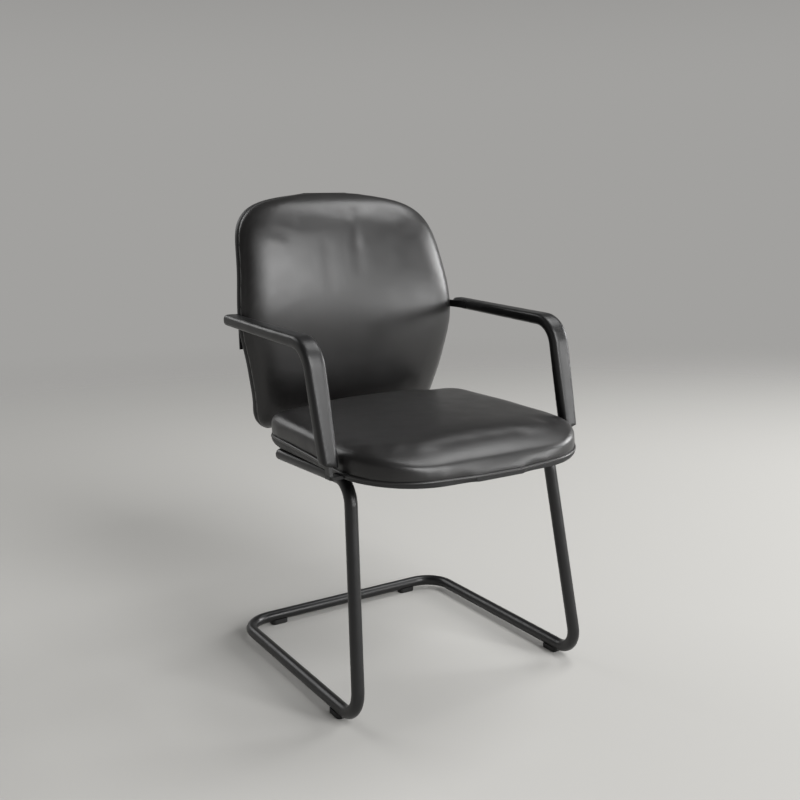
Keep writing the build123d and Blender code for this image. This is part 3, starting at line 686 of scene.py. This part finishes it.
class CHAIR_OT_mouldings(Operator):
    """Finish the arms, shells, glides and plugs as moulded plastic"""
    bl_idname = "chair.mouldings"
    bl_label = "Arms, shells and glides"

    def execute(self, context):
        colours, sizes = settings()
        satin = moulded_polypropylene("Satin polypropylene, arms", colours.arm, sizes.spark, 0.32, 0.4)
        for side in ("left", "right"):
            self.armrest(side, satin, sizes.arm_voxel)
        grained = moulded_polypropylene(
            "Grained polypropylene, shells", colours.shell, sizes.spark, 0.45, 0.55
        )
        clothe(grained, "seat_under_cover", "back_shell")
        nylon = moulded_polypropylene("Nylon", colours.nylon, sizes.spark, 0.5, 0.6)
        for side in ("left", "right"):
            clothe(nylon, f"front_{side}_glide", f"rear_{side}_glide", f"{side}_rail_plug")
        return {"FINISHED"}

    @staticmethod
    def armrest(side, material, voxel):
        """Arm with the full round edges of a thick moulding."""
        node = f"{side}_armrest"
        made = new_object(f"{side}_arm_moulding", node_form(node))
        regrid(made, voxel)
        even_out(made, ARM_STEPS)
        made.data.shade_smooth()
        made.data.materials.append(material)
        finish_piece(made, "arm_plastic", node)


class CHAIR_OT_fixings(Operator):
    """Finish the bolts, nuts, screws and boards"""
    bl_idname = "chair.fixings"
    bl_label = "Fixings and boards"

    def execute(self, context):
        colours, _ = settings()
        clothe(plated_steel("Zinc plated steel", colours.zinc, 0.3, 0.45),
               "seat_bolts", "seat_t_nuts", "back_bolts", "back_t_nuts")
        clothe(plated_steel("Black oxide steel", colours.oxide, 0.35, 0.5),
               "seat_cover_screws", "back_shell_screws", "arm_bracket_screws")
        clothe(beech_plywood("Beech plywood", colours.beech), "seat_pan", "back_board")
        return {"FINISHED"}


# Camera at the photograph's viewpoint, measured from the middle of the rear floor bar.
CAMERA_FROM_REAR_BAR = Vector((-0.94256, -1.81198, 0.83742))
CAMERA_TURN = math.radians(-31.13)
CAMERA_PITCH = math.radians(10.73)
CAMERA_ROLL = math.radians(-1.22)
FOCAL_PIXELS = 996.6
FRAME_PIXELS = 800
SENSOR = 36.0


def camera_axes():
    """Right, up and back of the camera."""
    ahead = Vector((-math.sin(CAMERA_TURN) * math.cos(CAMERA_PITCH),
                    math.cos(CAMERA_TURN) * math.cos(CAMERA_PITCH), -math.sin(CAMERA_PITCH)))
    right = ahead.cross(Vector((0, 0, 1))).normalized()
    up = right.cross(ahead)
    cosine, sine = math.cos(CAMERA_ROLL), math.sin(CAMERA_ROLL)
    return cosine * right + sine * up, -sine * right + cosine * up, -ahead


def rear_bar():
    """Place on the floor under the middle of the rear bar, level with a rear glide."""
    low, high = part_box("rear_left_glide")
    return Vector((0, (low.y + high.y) / 2, 0))


# Soft lights: the point they face, degrees from the front towards the right, degrees up, distance,
# size and radiance.
LIGHTS = {
    "Front window": ((0, 0.19, 0.72), 12, 28, 5.5, (2.4, 4.0), 9.5),
    "Low window": ((0.1, 0.0, 0.55), 44, 6, 6.0, (1.95, 0.9), 14.0),
    "Ceiling panel": ((0, -0.24, 0.46), 98, 60, 4.0, (1.7, 1.7), 6.0),
    "Right window": ((0.1, 0.1, 0.6), 80, 15, 5.5, (2.6, 2.4), 10.0),
    "Rear fill": ((0, 0.2, 0.6), -158, 32, 5.0, (2.6, 2.6), 2.4),
}

# Floor: its radius, and the distances from its middle between which it fades out.
FLOOR_RADIUS = 6.0
FADE_FROM = 1.6
FADE_TO = 5.0


class CHAIR_OT_stage(Operator):
    """Build the floor, the lights and the camera"""
    bl_idname = "chair.stage"
    bl_label = "Stage"

    def execute(self, context):
        colours, _ = settings()
        self.floor(colours)
        for name, values in LIGHTS.items():
            self.lamp(name, *values)
        self.world(colours)
        self.camera()
        context.scene.view_settings.view_transform = "Standard"
        return {"FINISHED"}

    @staticmethod
    def floor(colours):
        """Round floor that fades into the backdrop's colour with distance."""
        form = bmesh.new()
        bmesh.ops.create_circle(form, cap_ends=True, segments=96, radius=FLOOR_RADIUS)
        mesh = bpy.data.meshes.new("floor")
        form.to_mesh(mesh)
        form.free()
        made = new_object("floor", mesh)
        material, tree, shader = new_material(
            "Pale floor", colours.floor, Roughness=0.9, Specular_IOR_Level=0.0
        )
        radius = add(tree, "ShaderNodeVectorMath", {0: object_point(tree)}, operation="LENGTH")
        spread = {"Value": radius.outputs["Value"], "From Min": FADE_FROM, "From Max": FADE_TO}
        fade = add(tree, "ShaderNodeMapRange", spread, interpolation_type="SMOOTHSTEP")
        clear = add(tree, "ShaderNodeBsdfTransparent")
        mixed = add(tree, "ShaderNodeMixShader",
                    {0: fade.outputs["Result"], 1: shader.outputs["BSDF"], 2: clear.outputs["BSDF"]})
        tree.links.new(mixed.outputs["Shader"], tree.nodes["Material Output"].inputs["Surface"])
        mesh.materials.append(material)

    @staticmethod
    def lamp(name, target, azimuth, elevation, distance, size, radiance):
        """Rectangle of light that faces its target and that the camera doesn't see."""
        light = bpy.data.lights.new(name, "AREA")
        light.shape = "RECTANGLE"
        light.size, light.size_y = size
        light.energy = radiance * math.pi * size[0] * size[1]
        made = bpy.data.objects.new(name, light)
        turn, rise = math.radians(azimuth), math.radians(elevation)
        out = Vector((math.sin(turn) * math.cos(rise), -math.cos(turn) * math.cos(rise), math.sin(rise)))
        made.location = Vector(target) + out * distance
        made.rotation_euler = out.to_track_quat("Z", "Y").to_euler()
        made.visible_camera = False
        bpy.context.scene.collection.objects.link(made)

    @staticmethod
    def world(colours):
        """Pale backdrop up to a little over the horizon, and a dimmer studio above it."""
        world = bpy.data.worlds.new("Studio")
        world.use_nodes = True
        tree = world.node_tree
        looked = add(tree, "ShaderNodeTexCoord").outputs["Generated"]
        way = add(tree, "ShaderNodeSeparateXYZ", {"Vector": looked})
        spread = {"Value": way.outputs["Z"], "From Min": 0.1, "From Max": 0.5, "To Min": 1.0, "To Max": 0.3}
        level = add(tree, "ShaderNodeMapRange", spread, interpolation_type="SMOOTHSTEP")
        shown = tree.nodes["Background"].inputs
        shown["Color"].default_value = (*colours.backdrop, 1)
        tree.links.new(level.outputs["Result"], shown["Strength"])
        bpy.context.scene.world = world

    @staticmethod
    def camera():
        """Camera at the photograph's viewpoint."""
        lens = bpy.data.cameras.new("Camera")
        lens.sensor_width = SENSOR
        lens.lens = FOCAL_PIXELS * SENSOR / FRAME_PIXELS
        made = bpy.data.objects.new("Camera", lens)
        right, up, back = camera_axes()
        place = rear_bar() + CAMERA_FROM_REAR_BAR
        made.matrix_world = Matrix.Translation(place) @ Matrix((right, up, back)).transposed().to_4x4()
        bpy.context.scene.collection.objects.link(made)
        bpy.context.scene.camera = made


class CHAIR_PT_panel(Panel):
    """Shows the chair's finishes and sizes, and a button for each step"""
    bl_idname = "CHAIR_PT_panel"
    bl_label = "Visitor chair"
    bl_space_type = "VIEW_3D"
    bl_region_type = "UI"
    bl_category = "Chair"

    def draw(self, context):
        for group in (context.scene.chair_finishes, context.scene.chair_sizes):
            for name in group.bl_rna.properties.keys():
                if name not in ("rna_type", "name"):
                    self.layout.prop(group, name)
        for operator in OPERATORS:
            self.layout.operator(operator.bl_idname)


GROUPS = (ChairFinishes, ChairSizes)
OPERATORS = (
    CHAIR_OT_seat_cushion,
    CHAIR_OT_back_cushion,
    CHAIR_OT_piping,
    CHAIR_OT_frame_finish,
    CHAIR_OT_mouldings,
    CHAIR_OT_fixings,
    CHAIR_OT_stage,
)


def register():
    for kind in (*GROUPS, *OPERATORS, CHAIR_PT_panel):
        bpy.utils.register_class(kind)
    bpy.types.Scene.chair_finishes = PointerProperty(type=ChairFinishes)
    bpy.types.Scene.chair_sizes = PointerProperty(type=ChairSizes)


def unregister():
    del bpy.types.Scene.chair_sizes
    del bpy.types.Scene.chair_finishes
    for kind in (CHAIR_PT_panel, *reversed(OPERATORS), *reversed(GROUPS)):
        bpy.utils.unregister_class(kind)


def main():
    """Run every step."""
    register()
    for operator in OPERATORS:
        group, name = operator.bl_idname.split(".")
        getattr(getattr(bpy.ops, group), name)()


if __name__ == "__main__":
    main()
